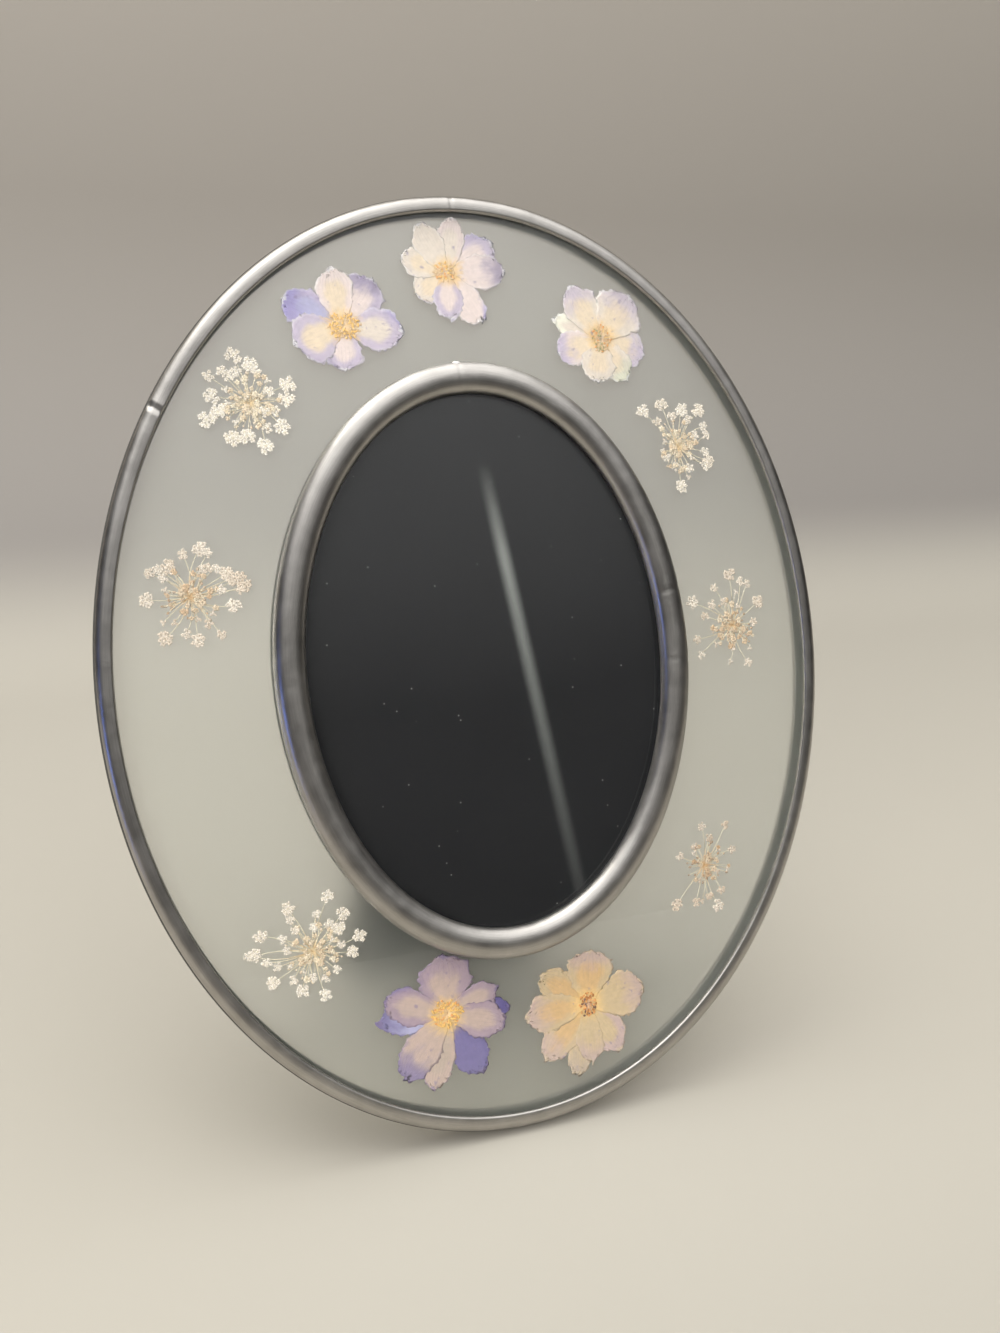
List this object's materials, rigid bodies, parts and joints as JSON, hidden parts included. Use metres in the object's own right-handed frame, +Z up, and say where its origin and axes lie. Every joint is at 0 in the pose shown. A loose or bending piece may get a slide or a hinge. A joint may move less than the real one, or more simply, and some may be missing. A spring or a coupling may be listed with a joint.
{
  "type": "pressed flower frame",
  "caption": "Oval glass frame with pressed flowers between two panes, a metal rim, a half-round metal ring round a black photo opening, and a folding easel leg behind.",
  "frame": {"origin": "middle of the standing frame's footprint, on the surface it stands on", "axes": "+Z up, -Y towards the viewer in front of the glass, +X to the viewer's right"},
  "size_m": [0.1778, 0.0892, 0.215],
  "materials": {
    "came": "dull grey lead and tin came, worn soft, with solder joints",
    "clear_glass": "clear picture glass",
    "etched_glass": "clear glass with a satin etched rear face",
    "black_board": "hardboard faced with black paper",
    "plated_steel": "zinc plated stamped steel",
    "larkspur": "pressed dry sepals, cream to violet, thin as tissue",
    "lace_flower": "pressed dry florets on thin stalks, cream with tan stalks"
  },
  "bodies": {
    "frame": {"outer_rim": "came", "inner_ring": "came", "front_pane": "clear_glass", "photo_glass": "clear_glass", "back_pane": "etched_glass", "backing_board": "black_board", "hinge_leaf_board": "plated_steel", "hinge_pin": "plated_steel", "board_screw_left": "plated_steel", "board_screw_right": "plated_steel", "board_tab_1": "came", "board_tab_2": "came", "board_tab_3": "came", "board_tab_4": "came", "board_tab_5": "came", "larkspur_top_left": "larkspur", "larkspur_top_middle": "larkspur", "larkspur_top_right": "larkspur", "larkspur_bottom_left": "larkspur", "larkspur_bottom_right": "larkspur", "lace_left_high": "lace_flower", "lace_left_middle": "lace_flower", "lace_right_high": "lace_flower", "lace_right_middle": "lace_flower", "lace_right_low": "lace_flower", "lace_left_low": "lace_flower"},
    "leg": {"easel_leg": "black_board", "hinge_leaf_leg": "plated_steel", "leg_screw_left": "plated_steel", "leg_screw_right": "plated_steel"}
  },
  "joints": [
    {"name": "leg_fold", "type": "hinge", "parent": "frame", "child": "leg", "pos_m": [0, 0.00353, 0.14767], "axis": [-1, 0, 0], "range_deg": [0, 30]}
  ]
}
